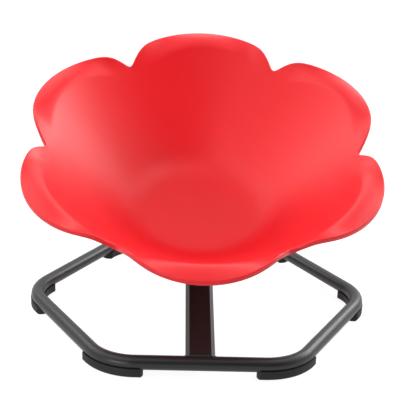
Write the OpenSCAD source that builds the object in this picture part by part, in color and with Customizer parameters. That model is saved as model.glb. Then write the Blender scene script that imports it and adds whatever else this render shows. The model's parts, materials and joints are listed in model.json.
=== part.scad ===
// Toddler spinning seat: a six-petal bowl that turns on a tilted hub over a hexagonal tube base.
// Millimetres. +Z is up, -Y is the front, and the origin is on the floor at the middle of the base.

/* [Base ring] */
// Outside diameter of the bent steel tube
tube_d = 25; // [20:1:30]
// Wall of the bent steel tube
tube_wall = 2; // [1.5:0.5:3]
// Distance from the middle of the base to the tube's centreline on each straight side
ring_apothem = 277; // [250:1:310]
// Centreline radius of the six corner bends
ring_bend_r = 88; // [70:1:110]

/* [Support bar] */
// Width of the flat bar that carries the hub
bar_w = 50; // [48:1:60]
// Thickness of the flat bar
bar_h = 25; // [20:1:28]
// Wall of the flat bar
bar_wall = 2.5; // [2:0.5:3]
// Width of the flat chamfer along each long edge of the bar
bar_chamfer = 6.5; // [3:0.5:8]
// Rise of the bar's front leg, in degrees
bar_slope = 13.3; // [10:0.1:17]
// How far behind the middle of the base the bar's two legs would meet
bar_knee_y = 165; // [160:1:185]
// Centreline radius of the bend between the bar's legs
bar_bend_r = 60; // [45:1:70]
// How far behind the middle of the base the hub crosses the bar
hub_y = 100.5; // [92:0.5:108]

/* [Feet] */
// Width of a rubber foot, seen from above
foot_w = 27; // [22:1:34]
// Height of a foot, up the sides of the tube
foot_h = 16; // [13:1:20]
// Gap between the tube and the floor
foot_lift = 10; // [8:0.5:11]
// Reach of a foot past each end of its bend
foot_reach = 14; // [12:0.5:30]
// Radius of a foot's round ends, seen from above
foot_end_r = 17; // [15:0.5:22]
// Chamfer along the foot's lower edges
foot_chamfer = 2.5; // [1:0.5:4]
// Play between the foot's saddle and the tube
foot_play = 0.2; // [0.1:0.05:0.4]
// Shank diameter of a foot screw
foot_screw_d = 5; // [4:0.5:6]
// Head diameter of a foot screw
foot_screw_head_d = 10; // [8:0.5:11]
// Head height of a foot screw
foot_screw_head_h = 3; // [2:0.5:3.5]
// Depth of the pocket that sinks the screw's head in the sole
foot_pocket_h = 5; // [4:0.5:6]
// Length of the screw past the inside of the tube's wall
foot_screw_grip = 4; // [2:0.5:8]

/* [Seat] */
// Forward lean of the seat's axis, in degrees
seat_tilt = 24.5; // [20:0.5:28]
// Wall of the moulded seat
seat_wall = 5; // [3.5:0.5:6]
// Radius of the flat round floor of the bowl
floor_r = 108; // [95:1:120]
// Radius of the curve between floor and wall
floor_fillet_r = 45; // [30:1:60]
// Inside radius of the bowl where its wall starts to roll outward
bowl_r = 303; // [290:1:315]
// Radius of the outward roll at the top of the wall
lip_roll_r = 20; // [14:1:26]
// Slope of the bowl's wall just above the floor curve, in degrees
wall_low_slope = 37; // [32:1:42]
// Slope of the bowl's wall just under the roll, in degrees
wall_top_slope = 52; // [48:1:56]
// Fall of the lip outside the roll, in degrees
lip_droop = 13; // [4:1:16]
// Radius of the round end of each petal
petal_r = 154; // [148:1:162]
// Distance from the seat's axis to the middle of each petal's round end
petal_offset = 192; // [186:1:198]
// Radius at the bottom of the notch between two petals
notch_r = 5; // [4:1:12]
// Depth of the rim that turns down along the petals' edge
rim_depth = 9; // [7:0.5:12]
// Thickness of that rim
rim_t = 5; // [4:0.5:7]
// Radius of the moulded mounting pad under the floor
pad_r = 80; // [76:1:95]
// Height of the mounting pad
pad_h = 8; // [6:0.5:12]
// Radius of the hollow in the middle of the mounting pad
pad_hollow_r = 18; // [14:1:26]

/* [Seat plate] */
// Diameter of the steel plate under the seat
plate_d = 150; // [136:1:156]
// Thickness of the steel plate
plate_t = 5; // [4:0.5:8]
// Height of the plate's underside above the bar's centreline, along the seat's axis
hub_rise = 45.5; // [42:0.5:52]
// Diameter of the circle of seat bolts
bolt_circle_d = 104; // [96:1:112]
// Diameter of a seat bolt
bolt_d = 8; // [6:1:10]
// Width across the flats of a seat bolt's head
bolt_flats = 13; // [12:1:15]
// Height of a seat bolt's head
bolt_head_h = 5.3; // [4:0.1:6]
// Diameter of the washer under a bolt's head
bolt_washer_d = 16; // [15:1:20]
// Thickness of the washer under a bolt's head
bolt_washer_t = 1.6; // [1:0.1:2]
// Diameter of a threaded insert in the seat's pad
insert_d = 12; // [11:0.5:14]
// Length of a threaded insert
insert_len = 10; // [8:0.5:10]
// Gap left between a bolt's end and the bottom of its insert
bolt_end_gap = 1; // [0.5:0.5:2]

/* [Hub] */
// Outside diameter of the bearing housing
housing_d = 42; // [40:1:43]
// Gap between the seat plate and the top of the housing
housing_gap = 3.5; // [3:0.5:4]
// Length of the bearing housing
housing_len = 80; // [78:1:90]
// Diameter of the housing's waist between the two bearings
housing_waist_d = 30; // [29.5:0.5:32]
// Outside diameter of the rubber seal
seal_d = 38; // [34:1:41]
// Running gap between the seal's lip and the housing
seal_gap = 0.3; // [0.2:0.1:0.6]
// Thickness of the cap's flange at the bottom of the housing
cap_t = 2.5; // [2:0.5:4]
// Length of the cap's plug inside the housing
cap_plug_len = 4; // [3:0.5:5]
// Wall of the cap's plug
cap_wall = 2; // [1.5:0.5:3]

/* [Bearings] */
// Bore of each ball bearing
bearing_bore_d = 17; // [16:0.5:18]
// Outside diameter of each ball bearing
bearing_d = 35; // [34:0.5:36]
// Width of each ball bearing
bearing_w = 10; // [9:0.5:11]
// Pitch diameter of the balls
ball_circle_d = 26; // [25.5:0.5:26.5]
// Diameter of a ball
ball_d = 4.75; // [4.5:0.05:5]
// Number of balls in a bearing
ball_count = 9; // [7:1:10]
// Radial space between the two races
race_gap = 3.4; // [3:0.1:3.6]
// Running play round a ball in its grooves
ball_play = 0.04; // [0.02:0.01:0.08]
// Radial thickness of the ball cage
cage_t = 1.2; // [1:0.1:1.6]
// Height of the ball cage
cage_h = 6.5; // [6:0.5:8]
// Play round a ball in its cage pocket
cage_play = 0.08; // [0.04:0.02:0.12]
// Distance between the two bearings
bearing_span = 30; // [24:1:34]
// Thickness of the retaining ring under the lower bearing
clip_t = 1.5; // [1.2:0.1:2]
// Radial width of the retaining ring
clip_w = 3.5; // [3:0.5:4]
// Depth of the retaining ring's groove
clip_groove = 1; // [0.8:0.1:1.4]
// Opening between the retaining ring's ends
clip_opening = 8; // [5:1:12]

/* [Spindle] */
// Diameter of the shoulder between seat plate and upper bearing
shoulder_d = 22; // [20:0.5:22.5]
// Length of that shoulder
shoulder_len = 6; // [5:0.5:8]
// Outside diameter of the spacer between the inner races
spacer_d = 21; // [20:0.5:22]
// Diameter of the threaded end
thread_d = 16; // [14:0.5:16]
// Length of the threaded end past the lower bearing
thread_len = 18; // [16.5:0.5:19]
// Width across the flats of the lock nut
nut_flats = 24; // [22:1:24]
// Height of the lock nut
nut_h = 13; // [10:0.5:14]
// Diameter of the washer under the lower bearing
spindle_washer_d = 22; // [20:0.5:22.5]
// Thickness of the washer under the lower bearing
spindle_washer_t = 2.5; // [1.5:0.5:3]
// Chamfer at the spindle's lower end
spindle_chamfer = 1.5; // [0.5:0.5:2.5]
// Play round bolts and screws in their holes
hole_play = 0.4; // [0.2:0.1:0.6]
// Play in threads and on the spindle
fit_play = 0.02; // [0.01:0.01:0.05]

/* [Hidden] */
$fn = 96;

// Six corners on the base and six petals on the seat
sides = 6;
side_angle = 360 / sides;
half_angle = side_angle / 2;
// How far every cut runs past the surface it opens, and every straight length into its bend
overrun = 1;
// How far two lengths of one piece run into each other where they meet face to face
lap = 0.002;
// How far the bends of the tube and the bar stand proud of their straight lengths
bend_swell = 0.05;
// How far the rounding of a notch cuts into the petals on both sides of it
notch_bite = 0.05;
// Straight steps in each curve of the bowl's section
fillet_steps = 6;
wall_steps = 8;
roll_steps = 8;

// Base ring, worked out on the tube's centreline
tube_r = tube_d / 2;
ring_z = foot_lift + tube_r;
ring_bend_out = (ring_apothem - ring_bend_r) / cos(half_angle);
ring_side_len = 2 * ring_bend_out * sin(half_angle);

// Support bar, as a line in the middle plane from front tube to knee to rear tube
bar_knee_rise = (bar_knee_y + ring_apothem) * tan(bar_slope);
bar_fall = atan2(bar_knee_rise, ring_apothem - bar_knee_y);
bar_turn = bar_slope + bar_fall;
bar_tangent = bar_bend_r * tan(bar_turn / 2);
bar_front_len = norm([bar_knee_y + ring_apothem, bar_knee_rise]) - bar_tangent;
bar_rear_len = norm([ring_apothem - bar_knee_y, bar_knee_rise]) - bar_tangent;
// Share of the tube's radius at which the bar's shaped ends begin
bar_start_share = 0.4;
bar_start = bar_start_share * tube_r;
// Share of the outside chamfer that the edges of the bar's bore have
bar_bore_share = 0.75;
hub_z = ring_z + (hub_y + ring_apothem) * tan(bar_slope);

// Seat axis: heights above the bar's centreline, along the axis
plate_top = hub_rise + plate_t;
floor_bottom = plate_top + pad_h;
floor_top = floor_bottom + seat_wall;
housing_top = hub_rise - housing_gap;
housing_bottom = housing_top - housing_len;
upper_bearing_top = hub_rise - shoulder_len;
upper_bearing_bottom = upper_bearing_top - bearing_w;
lower_bearing_top = upper_bearing_bottom - bearing_span;
lower_bearing_bottom = lower_bearing_top - bearing_w;
spindle_end = lower_bearing_bottom - thread_len;
nut_top = lower_bearing_bottom - spindle_washer_t;

// Bowl section, measured outward from the axis and up from the floor's top face
wall_low = [floor_r, floor_fillet_r] + floor_fillet_r * [sin(wall_low_slope), -cos(wall_low_slope)];
wall_arc_r = (bowl_r - wall_low[0]) / (sin(wall_top_slope) - sin(wall_low_slope));
wall_centre = wall_low + wall_arc_r * [-sin(wall_low_slope), cos(wall_low_slope)];
wall_top = wall_centre + wall_arc_r * [sin(wall_top_slope), -cos(wall_top_slope)];
roll_centre = wall_top + lip_roll_r * [sin(wall_top_slope), -cos(wall_top_slope)];
lip_reach = petal_offset + petal_r + overrun;
bowl_height = roll_centre[1] + lip_roll_r;
// Notch rounding: a circle that touches two neighbouring petals from outside
notch_out = petal_offset * cos(half_angle)
    + sqrt(pow(petal_r + notch_r - notch_bite, 2) - pow(petal_offset * sin(half_angle), 2));

// Colours
coated_steel = [0.10, 0.10, 0.11];
black_rubber = [0.05, 0.05, 0.055];
red_plastic = [0.87, 0.05, 0.08];
bright_steel = [0.72, 0.73, 0.75];
zinc_steel = [0.62, 0.64, 0.66];
brass = [0.78, 0.62, 0.30];
black_plastic = [0.08, 0.08, 0.09];

// Points of an arc about a centre, without its first point
function arc_points(centre, radius, from_angle, to_angle, steps) = [
    for (step = [1 : steps])
        let (angle = from_angle + (to_angle - from_angle) * step / steps)
            centre + radius * [cos(angle), sin(angle)]
];

// The bowl's section line, at a depth below its inside surface
function bowl_line(depth) = concat(
    [[0, -depth], [floor_r, -depth]],
    arc_points([floor_r, floor_fillet_r], floor_fillet_r + depth, -90, wall_low_slope - 90, fillet_steps),
    arc_points(wall_centre, wall_arc_r + depth, wall_low_slope - 90, wall_top_slope - 90, wall_steps),
    arc_points(roll_centre, lip_roll_r - depth, 90 + wall_top_slope, 90 - lip_droop, roll_steps),
    [lip_end(depth)]
);

// Where the section line runs out past the petals' tips
function lip_end(depth) =
    let (start = roll_centre + (lip_roll_r - depth) * [sin(lip_droop), cos(lip_droop)])
        [lip_reach, start[1] - (lip_reach - start[0]) * tan(lip_droop)];

function reversed(points) = [for (i = [len(points) - 1 : -1 : 0]) points[i]];
function at_angle(radius, angle) = radius * [cos(angle), sin(angle)];

// Places its children on the seat's axis, with zero where the axis crosses the bar's centreline
module on_axis() {
    translate([0, hub_y, hub_z]) rotate([seat_tilt, 0, 0]) children();
}

// Repeats its children round the seat's axis, one at each bolt
module at_bolts() {
    for (k = [0 : sides - 1])
        rotate(k * side_angle) translate([bolt_circle_d / 2, 0, 0]) children();
}

// A plain ring, standing on its lower face
module ring(outside_d, inside_d, height) {
    difference() {
        cylinder(d = outside_d, h = height);
        translate([0, 0, -overrun]) cylinder(d = inside_d, h = height + 2 * overrun);
    }
}

// The tube's cross-section, with its wall thinned from both sides
module tube_section(thinned) {
    difference() {
        circle(d = tube_d - 2 * thinned);
        circle(d = tube_d - 2 * tube_wall + 2 * thinned);
    }
}

// Repeats its children at the middle of each corner bend
module at_corners() {
    for (k = [0 : sides - 1])
        rotate(k * side_angle) translate([ring_bend_out + ring_bend_r, 0, 0]) children();
}

// Round steel tube, bent into a hexagon and welded shut
module base_ring() {
    color(coated_steel) difference() {
        for (k = [0 : sides - 1])
            rotate(k * side_angle) {
                translate([ring_bend_out, 0, ring_z]) rotate(-half_angle)
                    rotate_extrude(angle = side_angle) translate([ring_bend_r, 0]) tube_section(0);
                rotate(half_angle) translate([ring_apothem, 0, ring_z]) rotate([90, 0, 0])
                    linear_extrude(ring_side_len + 2 * overrun, center = true) tube_section(bend_swell);
            }
        at_corners() cylinder(d = foot_screw_d + hole_play, h = ring_z);
    }
}

// The bar's cross-section, drawn in from its outside by a depth
module bar_section(depth, chamfer) {
    half_w = bar_w / 2 - depth;
    half_h = bar_h / 2 - depth;
    polygon([
        [half_w, half_h - chamfer],
        [half_w - chamfer, half_h],
        [chamfer - half_w, half_h],
        [-half_w, half_h - chamfer],
        [-half_w, chamfer - half_h],
        [chamfer - half_w, -half_h],
        [half_w - chamfer, -half_h],
        [half_w, chamfer - half_h]
    ]);
}

// The bar's path: front leg, bend and rear leg, each drawn in from the bar's outside by its own depth
module bar_path(bend_depth, leg_depth, chamfer) {
    translate([0, -ring_apothem, ring_z]) rotate([bar_slope, 0, 0]) translate([0, bar_front_len, 0]) {
        translate([0, overrun, 0]) rotate([90, 0, 0])
            linear_extrude(bar_front_len - bar_start + overrun) bar_section(leg_depth, chamfer);
        translate([0, 0, -bar_bend_r]) rotate([0, -90, 0]) {
            rotate_extrude(angle = bar_turn) translate([bar_bend_r, 0]) rotate(90)
                bar_section(bend_depth, chamfer);
            rotate(bar_turn) translate([bar_bend_r, -overrun, 0]) rotate([-90, 0, 0])
                linear_extrude(bar_rear_len - bar_start + overrun) rotate(90) bar_section(leg_depth, chamfer);
        }
    }
}

// Flat steel tube from the front of the ring, up through the hub and down to the rear
module support_bar() {
    color(coated_steel) difference() {
        bar_path(0, bend_swell, bar_chamfer);
        bar_path(bar_wall, bar_wall - bend_swell, bar_chamfer * bar_bore_share);
        for (side = [-1, 1])
            translate([0, side * ring_apothem, ring_z]) rotate([0, 90, 0])
                cylinder(d = tube_d, h = bar_w + 2 * overrun, center = true);
        on_axis() cylinder(d = housing_d, h = 2 * housing_len, center = true);
    }
}

// Turned steel tube welded through the bar, with a seat for a bearing at each end
module bearing_housing() {
    color(coated_steel) on_axis() difference() {
        translate([0, 0, housing_bottom]) cylinder(d = housing_d, h = housing_len);
        translate([0, 0, upper_bearing_bottom])
            cylinder(d = bearing_d, h = housing_top - upper_bearing_bottom + overrun);
        translate([0, 0, lower_bearing_top - overrun])
            cylinder(d = housing_waist_d, h = bearing_span + 2 * overrun);
        translate([0, 0, housing_bottom - overrun])
            cylinder(d = bearing_d, h = lower_bearing_top - housing_bottom + overrun);
        translate([0, 0, lower_bearing_bottom - clip_t])
            cylinder(d = bearing_d + 2 * clip_groove, h = clip_t);
    }
}

// A foot's cross-section: chamfered below, with a saddle for the tube above
module foot_section() {
    difference() {
        polygon([
            [-foot_w / 2 + foot_chamfer, 0],
            [foot_w / 2 - foot_chamfer, 0],
            [foot_w / 2, foot_chamfer],
            [foot_w / 2, foot_h],
            [-foot_w / 2, foot_h],
            [-foot_w / 2, foot_chamfer]
        ]);
        translate([0, ring_z]) circle(d = tube_d + 2 * foot_play);
    }
}

// Moulded rubber foot, saddled under one corner of the ring
module foot(corner) {
    color(black_rubber) rotate(corner * side_angle) difference() {
        translate([ring_bend_out, 0, 0]) {
            rotate(-half_angle) rotate_extrude(angle = side_angle)
                translate([ring_bend_r, 0]) foot_section();
            for (side = [0, 1])
                mirror([0, side, 0]) rotate(half_angle) translate([ring_bend_r, 0, 0]) intersection() {
                    translate([0, foot_reach, 0]) rotate([90, 0, 0])
                        linear_extrude(foot_reach + lap) foot_section();
                    translate([0, foot_reach - foot_end_r, 0]) cylinder(r = foot_end_r, h = foot_h);
                }
        }
        translate([ring_bend_out + ring_bend_r, 0, -overrun]) {
            cylinder(d = foot_screw_d + hole_play, h = foot_h + 2 * overrun);
            cylinder(d = foot_screw_head_d + 2 * hole_play, h = foot_pocket_h + overrun);
        }
    }
}
module foot_right() { foot(0); }
module foot_rear_right() { foot(1); }
module foot_rear_left() { foot(2); }
module foot_left() { foot(3); }
module foot_front_left() { foot(4); }
module foot_front_right() { foot(5); }

// Screws up through the feet into the underside of the tube
module foot_screws() {
    screw_top = foot_lift + tube_wall + foot_screw_grip;
    color(zinc_steel) at_corners() {
        translate([0, 0, foot_pocket_h - foot_screw_head_h])
            cylinder(d = foot_screw_head_d, h = foot_screw_head_h);
        translate([0, 0, foot_pocket_h]) cylinder(d = foot_screw_d, h = screw_top - foot_pocket_h);
    }
}

// The groove that the balls run in, round the middle of a bearing
module ball_groove() {
    rotate_extrude() translate([ball_circle_d / 2, 0]) circle(d = ball_d + 2 * ball_play);
}

// Outer race of a ball bearing, centred on its width
module outer_race() {
    difference() {
        cylinder(d = bearing_d, h = bearing_w, center = true);
        cylinder(d = ball_circle_d + race_gap, h = bearing_w + 2 * overrun, center = true);
        ball_groove();
    }
}

// Inner race of a ball bearing, centred on its width
module inner_race() {
    difference() {
        cylinder(d = ball_circle_d - race_gap, h = bearing_w, center = true);
        cylinder(d = bearing_bore_d, h = bearing_w + 2 * overrun, center = true);
        ball_groove();
    }
}

// The balls of one bearing
module ball_set() {
    for (k = [0 : ball_count - 1])
        rotate(k * 360 / ball_count) translate([ball_circle_d / 2, 0, 0]) sphere(d = ball_d);
}

// The cage that keeps one bearing's balls apart
module ball_cage() {
    difference() {
        translate([0, 0, -cage_h / 2]) ring(ball_circle_d + cage_t, ball_circle_d - cage_t, cage_h);
        for (k = [0 : ball_count - 1])
            rotate(k * 360 / ball_count) rotate([0, 90, 0])
                cylinder(d = ball_d + 2 * cage_play, h = ball_circle_d);
    }
}

// Places its children at the middle of the upper or the lower bearing
module at_upper_bearing() {
    on_axis() translate([0, 0, upper_bearing_top - bearing_w / 2]) children();
}
module at_lower_bearing() {
    on_axis() translate([0, 0, lower_bearing_top - bearing_w / 2]) children();
}

module upper_outer_race() { color(bright_steel) at_upper_bearing() outer_race(); }
module lower_outer_race() { color(bright_steel) at_lower_bearing() outer_race(); }
module upper_inner_race() { color(bright_steel) at_upper_bearing() inner_race(); }
module lower_inner_race() { color(bright_steel) at_lower_bearing() inner_race(); }
module upper_balls() { color(bright_steel) at_upper_bearing() ball_set(); }
module lower_balls() { color(bright_steel) at_lower_bearing() ball_set(); }
module upper_cage() { color(brass) at_upper_bearing() ball_cage(); }
module lower_cage() { color(brass) at_lower_bearing() ball_cage(); }

// Sprung ring in a groove of the housing, under the lower bearing
module retaining_ring() {
    clip_d = bearing_d + 2 * clip_groove;
    color(bright_steel) on_axis() translate([0, 0, lower_bearing_bottom - clip_t]) difference() {
        ring(clip_d, clip_d - 2 * clip_w, clip_t);
        translate([0, -clip_opening / 2, -overrun]) cube([clip_d, clip_opening, clip_t + 2 * overrun]);
    }
}

// Plastic cap pushed into the bottom of the housing
module hub_cap() {
    color(black_plastic) on_axis() translate([0, 0, housing_bottom - cap_t]) {
        cylinder(d = housing_d, h = cap_t);
        translate([0, 0, cap_t]) ring(bearing_d, bearing_d - 2 * cap_wall, cap_plug_len);
    }
}

// The petals' outline, seen along the seat's axis and drawn in by an inset
module petal_outline(inset) {
    difference() {
        union() {
            for (k = [0 : sides - 1])
                translate(at_angle(petal_offset, half_angle + k * side_angle)) circle(r = petal_r - inset);
            polygon([
                for (k = [0 : 2 * sides - 1])
                    at_angle(k % 2 == 0 ? notch_out : petal_offset, k * half_angle)
            ]);
        }
        for (k = [0 : sides - 1])
            translate(at_angle(notch_out, k * side_angle)) circle(r = notch_r + inset);
    }
}

// A layer of the bowl between two depths below its inside surface, inside the petals' outline
module bowl_layer(from_depth, to_depth, inset) {
    intersection() {
        rotate_extrude() polygon(concat(bowl_line(from_depth), reversed(bowl_line(to_depth))));
        translate([0, 0, -to_depth - overrun])
            linear_extrude(bowl_height + to_depth + 2 * overrun) petal_outline(inset);
    }
}

// Moulded plastic bowl: a rolled lip cut into six petals, a rim turned down along their edge,
// and a mounting pad under the floor
module seat_shell() {
    color(red_plastic) on_axis() difference() {
        union() {
            translate([0, 0, floor_top]) difference() {
                bowl_layer(0, rim_depth, 0);
                bowl_layer(seat_wall, rim_depth + overrun, rim_t);
            }
            translate([0, 0, plate_top]) ring(2 * pad_r, 2 * pad_hollow_r, pad_h);
        }
        at_bolts() translate([0, 0, plate_top - overrun]) cylinder(d = insert_d, h = insert_len + overrun);
    }
}

// Round steel plate bolted under the seat
module seat_plate() {
    color(coated_steel) on_axis() translate([0, 0, hub_rise]) difference() {
        cylinder(d = plate_d, h = plate_t);
        translate([0, 0, -overrun]) {
            cylinder(d = bearing_bore_d, h = plate_t + 2 * overrun);
            at_bolts() cylinder(d = bolt_d + 2 * hole_play, h = plate_t + 2 * overrun);
        }
    }
}

// Steel spindle welded into the plate, with a shoulder, two bearing seats and a threaded end
module spindle() {
    journal_r = bearing_bore_d / 2 - fit_play;
    thread_r = thread_d / 2;
    color(bright_steel) on_axis() rotate_extrude() polygon([
        [0, spindle_end],
        [thread_r - spindle_chamfer, spindle_end],
        [thread_r, spindle_end + spindle_chamfer],
        [thread_r, lower_bearing_bottom],
        [journal_r, lower_bearing_bottom],
        [journal_r, upper_bearing_top],
        [shoulder_d / 2, upper_bearing_top],
        [shoulder_d / 2, hub_rise],
        [bearing_bore_d / 2, hub_rise],
        [bearing_bore_d / 2, plate_top],
        [0, plate_top]
    ]);
}

// Steel sleeve that keeps the two inner races apart
module race_spacer() {
    color(zinc_steel) on_axis() translate([0, 0, lower_bearing_top])
        ring(spacer_d, bearing_bore_d, bearing_span);
}

// Rubber seal that turns with the spindle and wipes the top of the housing
module hub_seal() {
    lip_bottom = housing_top + seal_gap;
    seal_h = hub_rise - lip_bottom;
    seal_body = (seal_d - shoulder_d) / 4;
    color(black_rubber) on_axis() translate([0, 0, lip_bottom]) rotate_extrude() polygon([
        [shoulder_d / 2, 0],
        [shoulder_d / 2 + seal_body, 0],
        [seal_d / 2, seal_h / 2],
        [shoulder_d / 2 + seal_body, seal_h / 2],
        [shoulder_d / 2 + seal_body, seal_h],
        [shoulder_d / 2, seal_h]
    ]);
}

// Washer between the lower inner race and the lock nut
module spindle_washer() {
    color(zinc_steel) on_axis() translate([0, 0, nut_top])
        ring(spindle_washer_d, thread_d + 2 * fit_play, spindle_washer_t);
}

// Lock nut that holds the spindle in the bearings
module lock_nut() {
    color(zinc_steel) on_axis() translate([0, 0, nut_top - nut_h]) difference() {
        cylinder(d = nut_flats / cos(half_angle), h = nut_h, $fn = sides);
        translate([0, 0, -overrun]) cylinder(d = thread_d + 2 * fit_play, h = nut_h + 2 * overrun);
    }
}

// Brass threaded inserts moulded into the seat's pad
module seat_inserts() {
    color(brass) on_axis() at_bolts() translate([0, 0, plate_top])
        ring(insert_d, bolt_d + 2 * fit_play, insert_len);
}

// Hexagon bolts up through the plate into the seat's inserts
module seat_bolts() {
    head_top = hub_rise - bolt_washer_t;
    bolt_top = plate_top + insert_len - bolt_end_gap;
    color(zinc_steel) on_axis() at_bolts() {
        translate([0, 0, head_top - bolt_head_h])
            cylinder(d = bolt_flats / cos(half_angle), h = bolt_head_h, $fn = sides);
        translate([0, 0, head_top]) cylinder(d = bolt_d, h = bolt_top - head_top);
    }
}

// Washers under the heads of the seat bolts
module bolt_washers() {
    color(zinc_steel) on_axis() at_bolts() translate([0, 0, hub_rise - bolt_washer_t])
        ring(bolt_washer_d, bolt_d + hole_play, bolt_washer_t);
}

base_ring();
support_bar();
bearing_housing();
foot_right();
foot_rear_right();
foot_rear_left();
foot_left();
foot_front_left();
foot_front_right();
foot_screws();
upper_outer_race();
lower_outer_race();
retaining_ring();
hub_cap();
upper_balls();
upper_cage();
lower_balls();
lower_cage();
seat_shell();
seat_plate();
spindle();
upper_inner_race();
lower_inner_race();
race_spacer();
hub_seal();
spindle_washer();
lock_nut();
seat_inserts();
seat_bolts();
bolt_washers();
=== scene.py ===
import json
import math

import bmesh
import bpy
from mathutils import Matrix, Vector


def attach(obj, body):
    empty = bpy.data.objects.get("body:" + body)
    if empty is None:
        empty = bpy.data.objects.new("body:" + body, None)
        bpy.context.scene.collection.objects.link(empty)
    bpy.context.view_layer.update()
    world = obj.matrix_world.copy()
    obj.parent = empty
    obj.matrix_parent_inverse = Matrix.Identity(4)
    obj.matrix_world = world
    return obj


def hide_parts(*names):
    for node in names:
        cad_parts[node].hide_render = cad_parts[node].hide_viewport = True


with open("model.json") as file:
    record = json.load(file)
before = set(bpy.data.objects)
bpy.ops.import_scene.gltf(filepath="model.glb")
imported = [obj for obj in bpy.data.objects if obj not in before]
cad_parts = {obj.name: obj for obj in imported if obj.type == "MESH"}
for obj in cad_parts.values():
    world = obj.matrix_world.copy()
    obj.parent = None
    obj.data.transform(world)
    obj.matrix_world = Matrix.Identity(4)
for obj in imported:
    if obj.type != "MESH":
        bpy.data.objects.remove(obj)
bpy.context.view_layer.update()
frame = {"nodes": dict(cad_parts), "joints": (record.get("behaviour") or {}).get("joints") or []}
parts = frame["nodes"]


# Base ring
# A hexagon of 25 mm round steel tube, bent at six corners and welded shut at the back.
# It is powder coated in a fine grained black that shows long soft highlights.
tube_radius = 0.0125
ring_apothem = 0.277
ring_level = 0.0225


def add_node(tree, kind, place, **settings):
    """Adds a node at a place in the tree and sets its properties."""
    made = tree.nodes.new(kind)
    made.location = place
    for name, value in settings.items():
        setattr(made, name, value)
    return made


def add_inputs(tree, kind, sizes):
    """Gives a tree named inputs of one kind, each with the value that it starts from."""
    for name, value in sizes:
        socket = tree.interface.new_socket(name, in_out="INPUT", socket_type="NodeSocket" + kind)
        socket.default_value = value


def fine_grain_group():
    """A fine pebbled surface and a slow drift, both on the piece's own coordinates."""
    tree = bpy.data.node_groups.new("fine_grain", "ShaderNodeTree")
    add_inputs(tree, "Float", (("Grain Scale", 900.0), ("Drift Scale", 9.0)))
    for name in ("Height", "Fleck", "Drift"):
        tree.interface.new_socket(name, in_out="OUTPUT", socket_type="NodeSocketFloat")
    inside = add_node(tree, "NodeGroupInput", (-700, 0))
    outside = add_node(tree, "NodeGroupOutput", (500, 0))
    place = add_node(tree, "ShaderNodeTexCoord", (-700, -250))
    pebbles = add_node(tree, "ShaderNodeTexVoronoi", (-400, 200), feature="SMOOTH_F1")
    flecks = add_node(tree, "ShaderNodeTexNoise", (-400, -100))
    drift = add_node(tree, "ShaderNodeTexNoise", (-400, -400))
    both = add_node(tree, "ShaderNodeMath", (0, 150), operation="MULTIPLY")
    pebbles.inputs["Smoothness"].default_value = 0.6
    flecks.inputs["Detail"].default_value = 3.0
    drift.inputs["Detail"].default_value = 2.0
    for texture in (pebbles, flecks, drift):
        tree.links.new(place.outputs["Object"], texture.inputs["Vector"])
    tree.links.new(inside.outputs["Grain Scale"], pebbles.inputs["Scale"])
    tree.links.new(inside.outputs["Grain Scale"], flecks.inputs["Scale"])
    tree.links.new(inside.outputs["Drift Scale"], drift.inputs["Scale"])
    tree.links.new(pebbles.outputs["Distance"], both.inputs[0])
    tree.links.new(flecks.outputs["Fac"], both.inputs[1])
    tree.links.new(both.outputs[0], outside.inputs["Height"])
    tree.links.new(flecks.outputs["Fac"], outside.inputs["Fleck"])
    tree.links.new(drift.outputs["Fac"], outside.inputs["Drift"])
    return tree


def light_scuffs_group():
    """Short thin rubs in a few loose patches, on the piece's own coordinates."""
    tree = bpy.data.node_groups.new("light_scuffs", "ShaderNodeTree")
    add_inputs(tree, "Float", (("Patch Scale", 11.0), ("Rub Scale", 40.0)))
    tree.interface.new_socket("Scuff", in_out="OUTPUT", socket_type="NodeSocketFloat")
    inside = add_node(tree, "NodeGroupInput", (-900, 0))
    outside = add_node(tree, "NodeGroupOutput", (500, 0))
    place = add_node(tree, "ShaderNodeTexCoord", (-900, -250))
    drawn_out = add_node(tree, "ShaderNodeMapping", (-700, -250))
    drawn_out.inputs["Rotation"].default_value = (0.5, 0.3, 0.9)
    drawn_out.inputs["Scale"].default_value = (0.35, 6.0, 2.5)
    rubs = add_node(tree, "ShaderNodeTexNoise", (-450, -200))
    patches = add_node(tree, "ShaderNodeTexNoise", (-450, 200))
    patches.inputs["Detail"].default_value = 1.0
    thin = add_node(tree, "ShaderNodeMapRange", (-200, -200), interpolation_type="SMOOTHSTEP")
    thin.inputs["From Min"].default_value = 0.60
    thin.inputs["From Max"].default_value = 0.74
    sparse = add_node(tree, "ShaderNodeMapRange", (-200, 200), interpolation_type="SMOOTHSTEP")
    sparse.inputs["From Min"].default_value = 0.54
    sparse.inputs["From Max"].default_value = 0.70
    both = add_node(tree, "ShaderNodeMath", (200, 0), operation="MULTIPLY")
    tree.links.new(place.outputs["Object"], drawn_out.inputs["Vector"])
    tree.links.new(place.outputs["Object"], patches.inputs["Vector"])
    tree.links.new(drawn_out.outputs["Vector"], rubs.inputs["Vector"])
    tree.links.new(inside.outputs["Rub Scale"], rubs.inputs["Scale"])
    tree.links.new(inside.outputs["Patch Scale"], patches.inputs["Scale"])
    tree.links.new(rubs.outputs["Fac"], thin.inputs["Value"])
    tree.links.new(patches.outputs["Fac"], sparse.inputs["Value"])
    tree.links.new(thin.outputs["Result"], both.inputs[0])
    tree.links.new(sparse.outputs["Result"], both.inputs[1])
    tree.links.new(both.outputs[0], outside.inputs["Scuff"])
    return tree


fine_grain = fine_grain_group()
light_scuffs = light_scuffs_group()


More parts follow.
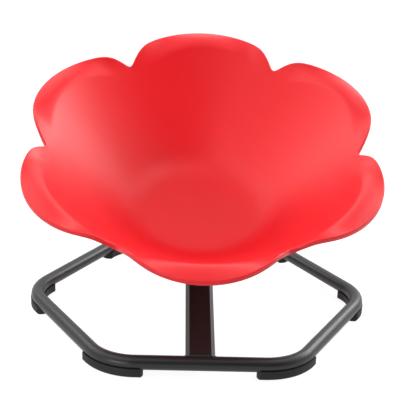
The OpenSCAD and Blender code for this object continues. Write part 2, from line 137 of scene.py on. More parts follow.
def coated_material(name, dark, light, roughness, grain, bump, worn, metallic=0.0, gloss=0.5):
    """A grained finish: two near colours, flecked roughness, a pebbled bump and faint scuffs."""
    fleck_range = (0.3, 0.7)
    pebble_strength = 0.6
    scuff_dulling = 0.06
    material = bpy.data.materials.new(name)
    material.use_nodes = True
    tree = material.node_tree
    shader = tree.nodes["Principled BSDF"]
    surface = add_node(tree, "ShaderNodeGroup", (-900, 0), node_tree=fine_grain)
    surface.inputs["Grain Scale"].default_value = grain
    colour = add_node(tree, "ShaderNodeMix", (-500, 250), data_type="RGBA")
    colour.inputs["A"].default_value = (*dark, 1.0)
    colour.inputs["B"].default_value = (*light, 1.0)
    rough = add_node(tree, "ShaderNodeMapRange", (-500, 0))
    rough.inputs["From Min"].default_value = fleck_range[0]
    rough.inputs["From Max"].default_value = fleck_range[1]
    rough.inputs["To Min"].default_value = roughness[0]
    rough.inputs["To Max"].default_value = roughness[1]
    pebble = add_node(tree, "ShaderNodeBump", (-300, -250))
    pebble.inputs["Distance"].default_value = bump
    pebble.inputs["Strength"].default_value = pebble_strength
    shader.inputs["Metallic"].default_value = metallic
    shader.inputs["Specular IOR Level"].default_value = gloss
    tree.links.new(surface.outputs["Drift"], colour.inputs["Factor"])
    tree.links.new(surface.outputs["Fleck"], rough.inputs["Value"])
    tree.links.new(surface.outputs["Height"], pebble.inputs["Height"])
    marks = add_node(tree, "ShaderNodeGroup", (-900, 400), node_tree=light_scuffs)
    rubbed = add_node(tree, "ShaderNodeMix", (-250, 250), data_type="RGBA")
    rubbed.inputs["B"].default_value = (*worn, 1.0)
    dulled = add_node(tree, "ShaderNodeMath", (-250, 50), operation="MULTIPLY_ADD")
    dulled.inputs[1].default_value = scuff_dulling
    tree.links.new(colour.outputs["Result"], rubbed.inputs["A"])
    tree.links.new(marks.outputs["Scuff"], rubbed.inputs["Factor"])
    tree.links.new(marks.outputs["Scuff"], dulled.inputs[0])
    tree.links.new(rough.outputs["Result"], dulled.inputs[2])
    tree.links.new(rubbed.outputs["Result"], shader.inputs["Base Color"])
    tree.links.new(dulled.outputs[0], shader.inputs["Roughness"])
    tree.links.new(pebble.outputs["Normal"], shader.inputs["Normal"])
    return material


powder_coat = coated_material(
    "powder_coat", dark=(0.010, 0.010, 0.011), light=(0.014, 0.014, 0.015), roughness=(0.33, 0.42),
    grain=1100.0, bump=0.00006, worn=(0.022, 0.022, 0.023), gloss=0.4)


def shape_tree(name, sizes, counts=()):
    """Starts a geometry tree that has named inputs for its sizes, counts, place, turn and finish."""
    tree = bpy.data.node_groups.new(name, "GeometryNodeTree")
    tree.interface.new_socket("Geometry", in_out="INPUT", socket_type="NodeSocketGeometry")
    add_inputs(tree, "Float", sizes)
    add_inputs(tree, "Int", counts)
    for label, kind in (("Place", "Vector"), ("Turn", "Vector"), ("Finish", "Material")):
        tree.interface.new_socket(label, in_out="INPUT", socket_type="NodeSocket" + kind)
    tree.interface.new_socket("Geometry", in_out="OUTPUT", socket_type="NodeSocketGeometry")
    return tree


def end_tree(tree, size, shape, left):
    """Ends a geometry tree: the shape is seated, shaded smooth, made plain and given its finish."""
    seated = add_node(tree, "GeometryNodeTransform", (left, 500))
    smooth = add_node(tree, "GeometryNodeSetShadeSmooth", (left + 200, 500))
    plain = add_node(tree, "GeometryNodeRealizeInstances", (left + 400, 500))
    finish = add_node(tree, "GeometryNodeSetMaterial", (left + 600, 500))
    result = add_node(tree, "NodeGroupOutput", (left + 800, 500))
    tree.links.new(shape, seated.inputs["Geometry"])
    tree.links.new(size["Place"], seated.inputs["Translation"])
    tree.links.new(size["Turn"], seated.inputs["Rotation"])
    tree.links.new(seated.outputs[0], smooth.inputs["Geometry"])
    tree.links.new(smooth.outputs[0], plain.inputs["Geometry"])
    tree.links.new(plain.outputs[0], finish.inputs["Geometry"])
    tree.links.new(size["Finish"], finish.inputs["Material"])
    tree.links.new(finish.outputs[0], result.inputs[0])


def bent_tube_tree():
    """A round tube that runs through a ring of equal bends."""
    tree = shape_tree(
        "bent_tube", (("Corner Reach", 0.31985), ("Bend Radius", 0.088), ("Tube Radius", tube_radius)),
        (("Bends", 6), ("Bend Steps", 32), ("Section Steps", 40)))
    size = add_node(tree, "NodeGroupInput", (-900, 500)).outputs
    corners = add_node(tree, "GeometryNodeCurvePrimitiveCircle", (-600, 500))
    bends = add_node(tree, "GeometryNodeFilletCurve", (-400, 500), mode="POLY")
    section = add_node(tree, "GeometryNodeCurvePrimitiveCircle", (-400, 200))
    tube = add_node(tree, "GeometryNodeCurveToMesh", (-200, 500))
    tree.links.new(size["Bends"], corners.inputs["Resolution"])
    tree.links.new(size["Corner Reach"], corners.inputs["Radius"])
    tree.links.new(corners.outputs["Curve"], bends.inputs["Curve"])
    tree.links.new(size["Bend Steps"], bends.inputs["Count"])
    tree.links.new(size["Bend Radius"], bends.inputs["Radius"])
    tree.links.new(size["Section Steps"], section.inputs["Resolution"])
    tree.links.new(size["Tube Radius"], section.inputs["Radius"])
    tree.links.new(bends.outputs["Curve"], tube.inputs["Curve"])
    tree.links.new(section.outputs["Curve"], tube.inputs["Profile Curve"])
    end_tree(tree, size, tube.outputs[0], 0)
    return tree


def grown_mesh(name, tree, **inputs):
    """Runs a geometry tree, with its named inputs set, on an empty mesh and returns the object."""
    piece = bpy.data.objects.new(name, bpy.data.meshes.new(name))
    bpy.context.scene.collection.objects.link(piece)
    growth = piece.modifiers.new("growth", "NODES")
    growth.node_group = tree
    for item in tree.interface.items_tree:
        key = item.name.lower().replace(" ", "_")
        if item.in_out == "INPUT" and key in inputs:
            growth[item.identifier] = inputs[key]
    return piece


def settle(piece):
    """Turns what the modifiers make into the piece's own plain mesh."""
    bpy.context.view_layer.update()
    shown = piece.evaluated_get(bpy.context.evaluated_depsgraph_get())
    made = bpy.data.meshes.new_from_object(shown)
    piece.modifiers.clear()
    piece.data = made


ring_tube = grown_mesh("ring_tube", bent_tube_tree(), place=(0.0, 0.0, ring_level), finish=powder_coat)
settle(ring_tube)
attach(ring_tube, "base")
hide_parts("base_ring")


# Support bar
# A 50 x 25 mm flat steel tube, coped onto the ring at both ends and bent down behind the hub.
# It is welded all round at the ring and has the ring's powder coat.

def finish_with(material, *names):
    """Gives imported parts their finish."""
    for name in names:
        parts[name].material_slots[0].material = material


finish_with(powder_coat, "support_bar")


# Bearing housing
# A turned steel tube that passes through the bar along the seat's axis and is welded on both faces.
# It holds the two bearings of the hub and is powder coated together with the bar.
finish_with(powder_coat, "bearing_housing")


# Weld beads
# Beads where the bar is welded to the ring at the front and the rear, and round the housing on both faces of
# the bar. Each was run in one pass, keeps the small ripples of the weld pool, and is coated with the steel.

def calculator(tree, left):
    """Gives a function that adds one math node to a tree, fed by sockets or plain numbers."""
    node_step = 45
    row_height = 220
    rows = 7

    def sum_of(operation, first, second=None, third=None):
        count = len(tree.nodes)
        place = (left + node_step * count, -row_height * (count % rows))
        made = add_node(tree, "ShaderNodeMath", place, operation=operation)
        for index, value in enumerate((first, second, third)):
            if value is None:
                continue
            if isinstance(value, (int, float)):
                made.inputs[index].default_value = value
            else:
                tree.links.new(value, made.inputs[index])
        return made.outputs[0]

    return sum_of


def weld_bead_tree():
    """A rippled bead along the line where the end of a bar, or a round housing, meets another surface."""
    sizes = (
        ("Width", 0.050), ("Height", 0.025), ("Corner", 0.0065), ("Tube Radius", 0.0), ("Start", 0.0),
        ("Level", 0.0), ("Lean", 0.0), ("Flat Half Width", 0.0185), ("Edge Fall", 0.0),
        ("Bead Radius", 0.002), ("Ripple Length", 0.0032), ("Ripple", 0.10), ("Point Spacing", 0.0007))
    tree = shape_tree("weld_bead", sizes, (("Corner Steps", 1), ("Section Steps", 10)))
    size = add_node(tree, "NodeGroupInput", (-1500, 0)).outputs
    sum_of = calculator(tree, -1200)

    # The section's outline, stepped finely enough for the ripples
    outline = add_node(tree, "GeometryNodeCurvePrimitiveQuadrilateral", (-1200, 500))
    corners = add_node(tree, "GeometryNodeFilletCurve", (-1000, 500), mode="POLY")
    fine = add_node(tree, "GeometryNodeResampleCurve", (-800, 500), mode="LENGTH")
    tree.links.new(size["Point Spacing"], fine.inputs["Length"])
    tree.links.new(size["Width"], outline.inputs["Width"])
    tree.links.new(size["Height"], outline.inputs["Height"])
    tree.links.new(outline.outputs["Curve"], corners.inputs["Curve"])
    tree.links.new(size["Corner Steps"], corners.inputs["Count"])
    tree.links.new(size["Corner"], corners.inputs["Radius"])
    tree.links.new(corners.outputs["Curve"], fine.inputs["Curve"])

    # Each point moves along the piece until it lies on the tube, or on the bar's flat and its sloping edges
    where = add_node(tree, "GeometryNodeInputPosition", (-1500, 300))
    apart = add_node(tree, "ShaderNodeSeparateXYZ", (-1350, 300))
    tree.links.new(where.outputs[0], apart.inputs[0])
    aside = apart.outputs["X"]
    upward = apart.outputs["Y"]
    left = sum_of("SUBTRACT", sum_of("POWER", size["Tube Radius"], 2.0), sum_of("POWER", upward, 2.0))
    on_tube = sum_of("MAXIMUM", sum_of("SQRT", sum_of("MAXIMUM", left, 0.0)), size["Start"])
    past_flat = sum_of("MAXIMUM", sum_of("SUBTRACT", sum_of("ABSOLUTE", aside), size["Flat Half Width"]), 0.0)
    on_flat = sum_of("SUBTRACT", size["Level"], sum_of("MULTIPLY", past_flat, size["Edge Fall"]))
    along = sum_of("ADD", on_tube, sum_of("MULTIPLY_ADD", upward, size["Lean"], on_flat))
    point = add_node(tree, "ShaderNodeCombineXYZ", (-300, 300))
    tree.links.new(aside, point.inputs["X"])
    tree.links.new(upward, point.inputs["Y"])
    tree.links.new(along, point.inputs["Z"])
    seam = add_node(tree, "GeometryNodeSetPosition", (-100, 500))
    tree.links.new(fine.outputs["Curve"], seam.inputs["Geometry"])
    tree.links.new(point.outputs[0], seam.inputs["Position"])

    # The bead: a small round that swells and shrinks with each ripple
    run = add_node(tree, "GeometryNodeSplineParameter", (-300, 0))
    waves = sum_of("DIVIDE", sum_of("MULTIPLY", run.outputs["Length"], 2 * math.pi), size["Ripple Length"])
    swell = sum_of("MULTIPLY_ADD", sum_of("SINE", waves), size["Ripple"], 1.0)
    section = add_node(tree, "GeometryNodeCurvePrimitiveCircle", (-100, 250))
    bead = add_node(tree, "GeometryNodeCurveToMesh", (100, 500))
    tree.links.new(size["Section Steps"], section.inputs["Resolution"])
    tree.links.new(size["Bead Radius"], section.inputs["Radius"])
    tree.links.new(seam.outputs[0], bead.inputs["Curve"])
    tree.links.new(section.outputs["Curve"], bead.inputs["Profile Curve"])
    tree.links.new(swell, bead.inputs["Scale"])
    end_tree(tree, size, bead.outputs[0], 300)
    return tree


weld_bead = weld_bead_tree()
seat_spin = next(joint for joint in frame["joints"] if joint["name"] == "seat_spin")
hub_point = Vector(seat_spin["pos_m"])
seat_axis = Vector(seat_spin["axis"])
seat_lean = math.atan2(-seat_axis.y, seat_axis.z)
bar_slope = math.radians(13.3)
bar_fall = math.radians(43.01)
bar_half_height = 0.0125
bar_end_start = 0.005
housing_width = 0.042
housing_round = 0.0209
housing_round_steps = 24
housing_bead_radius = 0.0018
off_square = seat_lean - bar_slope
skew = 1 / math.cos(off_square)
bar_ends = dict(tube_radius=tube_radius, start=bar_end_start, finish=powder_coat)
hub_seams = dict(
    width=housing_width, height=housing_width, corner=housing_round, corner_steps=housing_round_steps,
    lean=-math.tan(off_square), place=hub_point, turn=(seat_lean, 0.0, 0.0),
    bead_radius=housing_bead_radius, finish=powder_coat)
weld_front = grown_mesh(
    "weld_front", weld_bead, place=(0.0, -ring_apothem, ring_level),
    turn=(bar_slope - math.pi / 2, 0.0, 0.0), **bar_ends)
weld_rear = grown_mesh(
    "weld_rear", weld_bead, place=(0.0, ring_apothem, ring_level),
    turn=(math.pi / 2 - bar_fall, 0.0, 0.0), **bar_ends)
weld_hub_top = grown_mesh(
    "weld_hub_top", weld_bead, level=bar_half_height * skew, edge_fall=skew, **hub_seams)
weld_hub_bottom = grown_mesh(
    "weld_hub_bottom", weld_bead, level=-bar_half_height * skew, edge_fall=-skew, **hub_seams)
for weld in (weld_front, weld_rear, weld_hub_top, weld_hub_bottom):
    settle(weld)
    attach(weld, "base")


# Feet
# Six moulded black rubber feet, each saddled under a corner of the ring, with edges rounded by the mould.
# One zinc plated screw through its sole holds each foot to the tube.
foot_edge_radius = 0.0026
foot_edge_steps = 4
sharp_from = math.radians(40)
foot_rubber = coated_material(
    "foot_rubber", dark=(0.006, 0.006, 0.007), light=(0.010, 0.010, 0.011), roughness=(0.55, 0.75),
    grain=700.0, bump=0.0001, worn=(0.030, 0.029, 0.028), gloss=0.35)
zinc_steel = coated_material(
    "zinc_steel", dark=(0.46, 0.47, 0.49), light=(0.54, 0.55, 0.56), roughness=(0.32, 0.46),
    grain=900.0, bump=0.00003, worn=(0.40, 0.40, 0.41), metallic=1.0)


def rounded_foot(name, solid):
    """A copy of a foot's solid with its doubles merged, its flats joined and its edges rounded."""
    merge_reach = 0.00001
    flat_within = math.radians(1.5)
    edge_from = math.radians(28)
    shape = bmesh.new()
    shape.from_mesh(solid.data)
    bmesh.ops.remove_doubles(shape, verts=shape.verts, dist=merge_reach)
    bmesh.ops.dissolve_limit(shape, angle_limit=flat_within, verts=shape.verts, edges=shape.edges)
    mesh = bpy.data.meshes.new(name)
    shape.to_mesh(mesh)
    shape.free()
    mesh.materials.append(foot_rubber)
    foot = bpy.data.objects.new(name, mesh)
    bpy.context.scene.collection.objects.link(foot)
    rounding = foot.modifiers.new("rounding", "BEVEL")
    rounding.width = foot_edge_radius
    rounding.segments = foot_edge_steps
    rounding.limit_method = "ANGLE"
    rounding.angle_limit = edge_from
    settle(foot)
    foot.data.shade_smooth()
    foot.data.set_sharp_from_angle(angle=sharp_from)
    return foot


for corner in ("right", "rear_right", "rear_left", "left", "front_left", "front_right"):
    foot = rounded_foot("rubber_" + corner, parts["foot_" + corner])
    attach(foot, "base")
    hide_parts("foot_" + corner)
finish_with(zinc_steel, "foot_screws")


# Hub
# A turned spindle runs in two ball bearings with ground steel races and brass cages, inside the housing.
# A spacer, a sprung ring, a washer and a lock nut hold it. A rubber seal and a plastic cap close it.
bearing_steel = coated_material(
    "bearing_steel", dark=(0.55, 0.56, 0.58), light=(0.63, 0.64, 0.66), roughness=(0.18, 0.28),
    grain=1500.0, bump=0.00001, worn=(0.52, 0.52, 0.53), metallic=1.0)
brass = coated_material(
    "brass", dark=(0.60, 0.38, 0.11), light=(0.70, 0.46, 0.16), roughness=(0.26, 0.38),
    grain=900.0, bump=0.00003, worn=(0.52, 0.34, 0.12), metallic=1.0)
black_plastic = coated_material(
    "black_plastic", dark=(0.016, 0.016, 0.018), light=(0.022, 0.022, 0.024), roughness=(0.38, 0.52),
    grain=900.0, bump=0.00006, worn=(0.045, 0.045, 0.047))
for bearing in ("upper", "lower"):
    finish_with(bearing_steel, bearing + "_outer_race", bearing + "_inner_race", bearing + "_balls")
    finish_with(brass, bearing + "_cage")
finish_with(bearing_steel, "retaining_ring", "spindle")
finish_with(zinc_steel, "race_spacer", "spindle_washer", "lock_nut")
finish_with(foot_rubber, "hub_seal")
finish_with(black_plastic, "hub_cap")


# Seat plate
# A round steel plate, welded to the top of the spindle and powder coated like the base.
# Six zinc plated bolts with washers hold it to brass inserts in the bowl's pad.
finish_with(powder_coat, "seat_plate")
finish_with(zinc_steel, "seat_bolts", "bolt_washers")
finish_with(brass, "seat_inserts")


# Seat bowl
# One moulding of red plastic, 5 mm thick: a flat round floor, a wall that steepens as it rises, and a lip
# that rolls outward along six round petals and turns down at their edge.
# It is bolted to the plate under its floor.
floor_height = 0.0635
shell_thickness = 0.005
seat_floor = hub_point + floor_height * seat_axis


def petal_bowl_tree():
    """A polar grid lifted to the bowl's inside surface, whose last rows turn down as the rim."""
    sizes = (
        ("Petal Radius", 0.154), ("Petal Offset", 0.192), ("Notch Blend", 0.018),
        ("Floor Blend", 0.036), ("Lip Blend", 0.026), ("Wall Foot Radius", 0.13508),
        ("Wall Foot Height", 0.00956), ("Wall Foot Sine", 0.60182), ("Wall Foot Cosine", 0.79864),
        ("Wall Curve Radius", 0.9018), ("Lip Fall", 0.223), ("Lip Bend", 1.35), ("Tip Height", 0.1763),
        ("Tip Crease", 0.302), ("Notch Crease", 0.265), ("Notch Radius", 0.290), ("Notch Flare", 0.0014),
        ("Rim Radius", 0.0022), ("Rim Depth", 0.009))
    tree = shape_tree("petal_bowl", sizes)
    size = add_node(tree, "NodeGroupInput", (-2400, 0)).outputs
    sum_of = calculator(tree, -2100)

    # The grid: the same number of steps across each petal, and rows that go out over the bowl and its rim
    petals = 6
    petal_steps = 48
    bowl_rows = 96
    rim_rows = 12
    grid = add_node(tree, "GeometryNodeMeshGrid", (-2400, 500))
    grid.inputs["Size X"].default_value = 1.0
    grid.inputs["Size Y"].default_value = 1.0
    grid.inputs["Vertices X"].default_value = petals * petal_steps + 1
    grid.inputs["Vertices Y"].default_value = bowl_rows + rim_rows + 1
    where = add_node(tree, "GeometryNodeInputPosition", (-2400, 300))
    apart = add_node(tree, "ShaderNodeSeparateXYZ", (-2200, 300))
    tree.links.new(where.outputs[0], apart.inputs[0])

    # The way round: petal number, then the angle from the middle of that petal, closer steps near a notch
    whole_petal = 2 * math.pi / petals
    half_petal = math.pi / petals
    past_edge = 0.00001
    crowding = 0.4
    petals_round = sum_of("MULTIPLY_ADD", apart.outputs["X"], petals, petals / 2 + past_edge)
    petal = sum_of("FLOOR", petals_round)
    across = sum_of("MULTIPLY_ADD", sum_of("SUBTRACT", petals_round, petal), 2.0, -1.0)
    from_middle = sum_of("ABSOLUTE", across)
    cubed = sum_of("POWER", from_middle, 3.0)
    steady = sum_of("MULTIPLY", from_middle, 1.0 + crowding)
    eased = sum_of("SUBTRACT", steady, sum_of("MULTIPLY", cubed, crowding))
    off_middle = sum_of("MULTIPLY", eased, half_petal)
    signed = sum_of("MULTIPLY", off_middle, sum_of("SIGN", across))
    angle = sum_of("ADD", sum_of("MULTIPLY_ADD", petal, whole_petal, half_petal), signed)

    def petal_edge(turn):
        """Distance from the axis to a petal's round end, in a direction turned from its middle."""
        ahead = sum_of("MULTIPLY", size["Petal Offset"], sum_of("COSINE", turn))
        aside = sum_of("MULTIPLY", size["Petal Offset"], sum_of("SINE", turn))
        left = sum_of("SUBTRACT", sum_of("POWER", size["Petal Radius"], 2.0), sum_of("POWER", aside, 2.0))
        return sum_of("ADD", ahead, sum_of("SQRT", sum_of("MAXIMUM", left, 0.0)))

    own_edge = petal_edge(off_middle)
    next_edge = petal_edge(sum_of("SUBTRACT", whole_petal, off_middle))
    edge = sum_of("SMOOTH_MAX", own_edge, next_edge, size["Notch Blend"])

    # The way out: rings on the bowl, then the last rows go over the petals' edge and down the rim
    bowl_share = bowl_rows / (bowl_rows + rim_rows)
    row_crowding = 1.15
    draw_in_from = 0.2
    outward = sum_of("ADD", apart.outputs["Y"], 0.5)
    on_bowl = sum_of("MINIMUM", sum_of("DIVIDE", outward, bowl_share), 1.0)
    past_bowl = sum_of("SUBTRACT", outward, bowl_share)
    on_rim = sum_of("MAXIMUM", sum_of("DIVIDE", past_bowl, 1.0 - bowl_share), 0.0)
    over = sum_of("MINIMUM", sum_of("MULTIPLY", on_rim, 2.0), 1.0)
    down = sum_of("MAXIMUM", sum_of("MULTIPLY_ADD", on_rim, 2.0, -1.0), 0.0)
    tip = sum_of("ADD", size["Petal Offset"], size["Petal Radius"])
    left_over = sum_of("SUBTRACT", 1.0, on_bowl)
    ring = sum_of("MULTIPLY", tip, sum_of("SUBTRACT", 1.0, sum_of("POWER", left_over, row_crowding)))
    draw_in = add_node(tree, "ShaderNodeMapRange", (-900, 600), interpolation_type="SMOOTHSTEP")
    draw_in.inputs["From Min"].default_value = draw_in_from
    tree.links.new(ring, draw_in.inputs["Value"])
    tree.links.new(tip, draw_in.inputs["From Max"])
    brink = sum_of("SUBTRACT", edge, size["Rim Radius"])
    radius = sum_of("MULTIPLY_ADD", sum_of("SUBTRACT", brink, tip), draw_in.outputs["Result"], ring)

    def wall_at(distance):
        """Height of the bowl's wall at a distance from the axis: an arc that steepens as it rises."""
        gone = sum_of("SUBTRACT", distance, size["Wall Foot Radius"])
        sine = sum_of("ADD", size["Wall Foot Sine"], sum_of("DIVIDE", gone, size["Wall Curve Radius"]))
        cosine = sum_of("SQRT", sum_of("SUBTRACT", 1.0, sum_of("POWER", sine, 2.0)))
        risen = sum_of("SUBTRACT", size["Wall Foot Cosine"], cosine)
        return sum_of("MULTIPLY_ADD", risen, size["Wall Curve Radius"], size["Wall Foot Height"])

    # The lip: how far the petals' edge lies below the wall's line, and where the lip begins to bend away
    past_notch = sum_of("SUBTRACT", edge, size["Notch Radius"])
    share = sum_of("DIVIDE", past_notch, sum_of("SUBTRACT", tip, size["Notch Radius"]))
    lip = sum_of("MULTIPLY_ADD", sum_of("SUBTRACT", tip, edge), size["Lip Fall"], size["Tip Height"])
    edge_wall = wall_at(edge)
    fallen = sum_of("SUBTRACT", edge_wall, sum_of("SMOOTH_MIN", edge_wall, lip, size["Lip Blend"]))
    drop = sum_of("MULTIPLY_ADD", sum_of("SUBTRACT", 1.0, share), size["Notch Flare"], fallen)
    crease_spread = sum_of("SUBTRACT", size["Tip Crease"], size["Notch Crease"])
    crease = sum_of("MULTIPLY_ADD", share, crease_spread, size["Notch Crease"])

    def height_at(distance):
        """Height of the inside surface: floor into wall, then the lip that bends away past the crease."""
        inside = sum_of("SMOOTH_MAX", wall_at(distance), 0.0, size["Floor Blend"])
        past = sum_of("DIVIDE", sum_of("SUBTRACT", distance, crease), sum_of("SUBTRACT", edge, crease))
        bent = sum_of("POWER", sum_of("MAXIMUM", past, 0.0), size["Lip Bend"])
        return sum_of("SUBTRACT", inside, sum_of("MULTIPLY", drop, bent))

    # The rim: an arc that starts along the surface and ends upright, then a straight drop
    height = height_at(radius)
    step = 0.001
    slope = sum_of("DIVIDE", sum_of("SUBTRACT", height, height_at(sum_of("SUBTRACT", radius, step))), step)
    start = sum_of("MULTIPLY", sum_of("ARCTANGENT", slope), -1.0)
    turned = sum_of("MULTIPLY_ADD", sum_of("SUBTRACT", math.pi / 2, start), over, start)
    beyond = sum_of("SUBTRACT", sum_of("SINE", turned), sum_of("SINE", start))
    reach = sum_of("MULTIPLY_ADD", beyond, size["Rim Radius"], radius)
    below = sum_of("SUBTRACT", sum_of("COSINE", start), sum_of("COSINE", turned))
    rounded = sum_of("SUBTRACT", height, sum_of("MULTIPLY", below, size["Rim Radius"]))
    straight = sum_of("MULTIPLY", sum_of("SUBTRACT", size["Rim Depth"], size["Rim Radius"]), down)

    # The grid is lifted to that surface, closed at its seam and its middle, and turned to face upward
    merge_reach = 0.00002
    point = add_node(tree, "ShaderNodeCombineXYZ", (300, 300))
    tree.links.new(sum_of("MULTIPLY", reach, sum_of("COSINE", angle)), point.inputs["X"])
    tree.links.new(sum_of("MULTIPLY", reach, sum_of("SINE", angle)), point.inputs["Y"])
    tree.links.new(sum_of("SUBTRACT", rounded, straight), point.inputs["Z"])
    lift = add_node(tree, "GeometryNodeSetPosition", (500, 500))
    close = add_node(tree, "GeometryNodeMergeByDistance", (700, 500))
    close.inputs["Distance"].default_value = merge_reach
    upward = add_node(tree, "GeometryNodeFlipFaces", (900, 500))
    tree.links.new(grid.outputs["Mesh"], lift.inputs["Geometry"])
    tree.links.new(point.outputs[0], lift.inputs["Position"])
    tree.links.new(lift.outputs[0], close.inputs["Geometry"])
    tree.links.new(close.outputs[0], upward.inputs["Mesh"])
    end_tree(tree, size, upward.outputs[0], 1100)
    return tree


red_plastic = coated_material(
    "red_plastic", dark=(0.80, 0.003, 0.009), light=(0.84, 0.004, 0.011), roughness=(0.36, 0.46),
    grain=1300.0, bump=0.00008, worn=(0.82, 0.018, 0.026), gloss=0.45)
plastic_shader = red_plastic.node_tree.nodes["Principled BSDF"]
plastic_shader.inputs["Subsurface Weight"].default_value = 0.35
plastic_shader.inputs["Subsurface Radius"].default_value = (1.0, 0.12, 0.12)
plastic_shader.inputs["Subsurface Scale"].default_value = 0.006
seat_bowl = grown_mesh(
    "seat_bowl", petal_bowl_tree(), place=seat_floor, turn=(seat_lean, 0.0, 0.0), finish=red_plastic)
thickness = seat_bowl.modifiers.new("thickness", "SOLIDIFY")
thickness.thickness = shell_thickness
thickness.offset = -1.0
settle(seat_bowl)
seat_bowl.data.set_sharp_from_angle(angle=sharp_from)
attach(seat_bowl, "seat")
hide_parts("seat_shell")


# Mounting pad
# A ring under the bowl's floor, moulded in one with it from the same red plastic.
# The plate is bolted up against its flat underside.
pad_inner = 0.018
pad_outer = 0.080
pad_bottom = 0.0505
pad_top = 0.059
pad_edge = 0.001
pad_sharp_from = math.radians(30)


def turned_ring(name, profile, material, steps=96):
    """Turns a closed profile of (radius, height) points about the seat's axis."""
    shape = bmesh.new()
    rings = []
    for step in range(steps):
        turn = 2 * math.pi * step / steps
        rings.append([
            shape.verts.new((radius * math.cos(turn), radius * math.sin(turn), height))
            for radius, height in profile])
    for step in range(steps):
        here = rings[step]
        after = rings[(step + 1) % steps]
        for index in range(len(profile)):
            onward = (index + 1) % len(profile)
            shape.faces.new((here[index], after[index], after[onward], here[onward]))
    bmesh.ops.recalc_face_normals(shape, faces=shape.faces)
    shape.transform(Matrix.Translation(hub_point) @ Matrix.Rotation(seat_lean, 4, "X"))
    mesh = bpy.data.meshes.new(name)
    shape.to_mesh(mesh)
    shape.free()
    mesh.materials.append(material)
    mesh.shade_smooth()
    mesh.set_sharp_from_angle(angle=pad_sharp_from)
    piece = bpy.data.objects.new(name, mesh)
    bpy.context.scene.collection.objects.link(piece)
    return piece


pad_profile = (
    (pad_inner, pad_bottom), (pad_outer - pad_edge, pad_bottom), (pad_outer, pad_bottom + pad_edge),
    (pad_outer, pad_top), (pad_inner, pad_top))
mounting_pad = turned_ring("mounting_pad", pad_profile, red_plastic)
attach(mounting_pad, "seat")


# Floor and light
# A pale painted floor that keeps the object's shadow and shows white to the camera.
# Eight soft lamps stand round the seat, and a pale sky fills in between them.
floor_reach = 6.0
floor_level = -0.0005
floor_mesh = bpy.data.meshes.new("studio_floor")
floor_corners = [
    (floor_reach * side, floor_reach * end, floor_level)
    for side, end in ((-1, -1), (1, -1), (1, 1), (-1, 1))]
floor_mesh.from_pydata(floor_corners, [], [(0, 1, 2, 3)])
studio_floor = bpy.data.objects.new("studio_floor", floor_mesh)
bpy.context.scene.collection.objects.link(studio_floor)
floor_paint = bpy.data.materials.new("floor_paint")
floor_paint.use_nodes = True
floor_tree = floor_paint.node_tree
plain_floor = floor_tree.nodes["Principled BSDF"]
plain_floor.inputs["Base Color"].default_value = (0.32, 0.32, 0.32, 1.0)
plain_floor.inputs["Roughness"].default_value = 0.9


def seen_directly(tree, place):
    """One for what the camera, a mirror or glass shows, and zero for the light that falls on things."""
    path = add_node(tree, "ShaderNodeLightPath", (place[0] - 500, place[1]))
    mirrored = add_node(tree, "ShaderNodeMath", (place[0] - 200, place[1]), operation="MAXIMUM")
    either = add_node(tree, "ShaderNodeMath", place, operation="MAXIMUM")
    tree.links.new(path.outputs["Is Glossy Ray"], mirrored.inputs[0])
    tree.links.new(path.outputs["Is Transmission Ray"], mirrored.inputs[1])
    tree.links.new(path.outputs["Is Camera Ray"], either.inputs[0])
    tree.links.new(mirrored.outputs[0], either.inputs[1])
    return either.outputs[0]


floor_glow = add_node(floor_tree, "ShaderNodeEmission", (0, -300))
floor_glow.inputs["Strength"].default_value = 0.88
floor_shade = add_node(floor_tree, "ShaderNodeBsdfDiffuse", (0, -500))
floor_shade.inputs["Color"].default_value = (0.30, 0.30, 0.30, 1.0)
white_floor = add_node(floor_tree, "ShaderNodeAddShader", (250, -400))
shown_floor = add_node(floor_tree, "ShaderNodeMixShader", (500, 0))
floor_tree.links.new(floor_glow.outputs[0], white_floor.inputs[0])
floor_tree.links.new(floor_shade.outputs[0], white_floor.inputs[1])
floor_tree.links.new(seen_directly(floor_tree, (250, 300)), shown_floor.inputs["Fac"])
floor_tree.links.new(plain_floor.outputs[0], shown_floor.inputs[1])
floor_tree.links.new(white_floor.outputs[0], shown_floor.inputs[2])
floor_tree.links.new(shown_floor.outputs[0], floor_tree.nodes["Material Output"].inputs["Surface"])
floor_mesh.materials.append(floor_paint)

studio = bpy.data.worlds.new("studio")
studio.use_nodes = True
bpy.context.scene.world = studio
sky = studio.node_tree
soft_light = sky.nodes["Background"]
soft_light.inputs["Color"].default_value = (1.0, 1.0, 1.0, 1.0)
soft_light.inputs["Strength"].default_value = 0.46
white_wall = add_node(sky, "ShaderNodeBackground", (0, -200))
white_wall.inputs["Strength"].default_value = 1.0
direction = add_node(sky, "ShaderNodeTexCoord", (-900, -300))
forward = add_node(sky, "ShaderNodeSeparateXYZ", (-700, -300))
behind_camera = add_node(sky, "ShaderNodeMapRange", (-500, -300), interpolation_type="SMOOTHSTEP")
behind_camera.inputs["From Min"].default_value = -0.75
behind_camera.inputs["From Max"].default_value = -0.30
behind_camera.inputs["To Min"].default_value = 0.03
behind_camera.inputs["To Max"].default_value = 1.0
looked_at = add_node(sky, "ShaderNodeLightPath", (-500, -600))
wall = add_node(sky, "ShaderNodeMath", (-250, -300), operation="MAXIMUM")
sky.links.new(direction.outputs["Generated"], forward.inputs[0])
sky.links.new(forward.outputs["Y"], behind_camera.inputs["Value"])
sky.links.new(behind_camera.outputs["Result"], wall.inputs[0])
sky.links.new(looked_at.outputs["Is Camera Ray"], wall.inputs[1])
sky.links.new(wall.outputs[0], white_wall.inputs["Color"])
shown_sky = add_node(sky, "ShaderNodeMixShader", (300, 0))
sky.links.new(seen_directly(sky, (0, 300)), shown_sky.inputs["Fac"])
sky.links.new(soft_light.outputs[0], shown_sky.inputs[1])
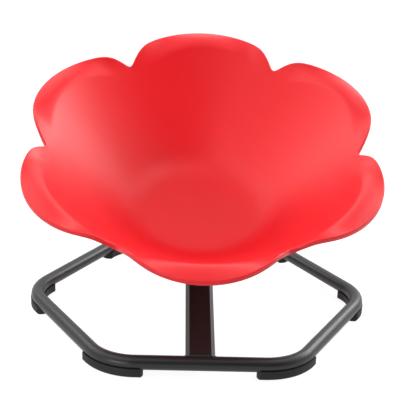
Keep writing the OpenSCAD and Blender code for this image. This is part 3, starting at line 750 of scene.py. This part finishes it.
sky.links.new(white_wall.outputs[0], shown_sky.inputs[2])
sky.links.new(shown_sky.outputs[0], sky.nodes["World Output"].inputs["Surface"])


def soft_lamp(name, place, aim, width, height, watts):
    """A rectangular soft box that faces a point."""
    lamp = bpy.data.lights.new(name, "AREA")
    lamp.shape = "RECTANGLE"
    lamp.size = width
    lamp.size_y = height
    lamp.energy = watts
    holder = bpy.data.objects.new(name, lamp)
    holder.location = place
    holder.rotation_euler = (Vector(aim) - Vector(place)).to_track_quat("-Z", "Y").to_euler()
    bpy.context.scene.collection.objects.link(holder)


seat_middle = (0.0, 0.0, 0.25)
soft_lamp("lamp_left", (-1.32, 0.23, 1.74), seat_middle, width=2.0, height=2.0, watts=15.0)
soft_lamp("lamp_back_left", (-1.35, 1.0, 1.35), seat_middle, width=1.2, height=0.6, watts=5.5)
soft_lamp("lamp_right", (1.62, 0.72, 0.95), seat_middle, width=1.7, height=0.5, watts=17.0)
soft_lamp("lamp_back_right", (1.35, 1.0, 1.35), seat_middle, width=1.2, height=0.6, watts=14.5)
soft_lamp("lamp_front", (-0.85, -1.45, 2.0), seat_middle, width=1.2, height=1.0, watts=7.0)
soft_lamp("lamp_low_front", (-1.4, -2.1, 0.3), (0.0, 0.0, 0.3), width=1.2, height=0.5, watts=19.0)
soft_lamp("lamp_over", (0.9, 0.0, 2.0), (0.0, 0.0, 0.2), width=1.2, height=1.0, watts=6.3)
soft_lamp("lamp_back", (0.1, 1.7, 1.75), (0.0, -0.2, 0.35), width=1.6, height=0.2, watts=5.5)


# Camera
# It stands in front of the seat, a little left of the middle, and looks down on it.
# Its angle, its lean and its lens were fitted to the photograph.
camera_aim = Vector((-0.00183, 0.0, 0.21494))
camera_distance = 1.8517
swing = math.radians(-1.77)
rise = math.radians(19.20)
lean = math.radians(2.07)
camera_data = bpy.data.cameras.new("camera")
camera_data.lens = 89.17
camera_data.sensor_width = 36.0
camera_data.clip_end = 50.0
camera = bpy.data.objects.new("camera", camera_data)
bpy.context.scene.collection.objects.link(camera)
back = Vector((math.sin(swing) * math.cos(rise), -math.cos(swing) * math.cos(rise), math.sin(rise)))
level = Vector((math.cos(swing), math.sin(swing), 0.0))
upright = back.cross(level)
right = math.cos(lean) * level + math.sin(lean) * upright
up = math.cos(lean) * upright - math.sin(lean) * level
stand = camera_aim + camera_distance * back
camera.matrix_world = Matrix((
    (right.x, up.x, back.x, stand.x),
    (right.y, up.y, back.y, stand.y),
    (right.z, up.z, back.z, stand.z),
    (0.0, 0.0, 0.0, 1.0)))
bpy.context.scene.camera = camera
bpy.context.scene.view_settings.view_transform = "Standard"
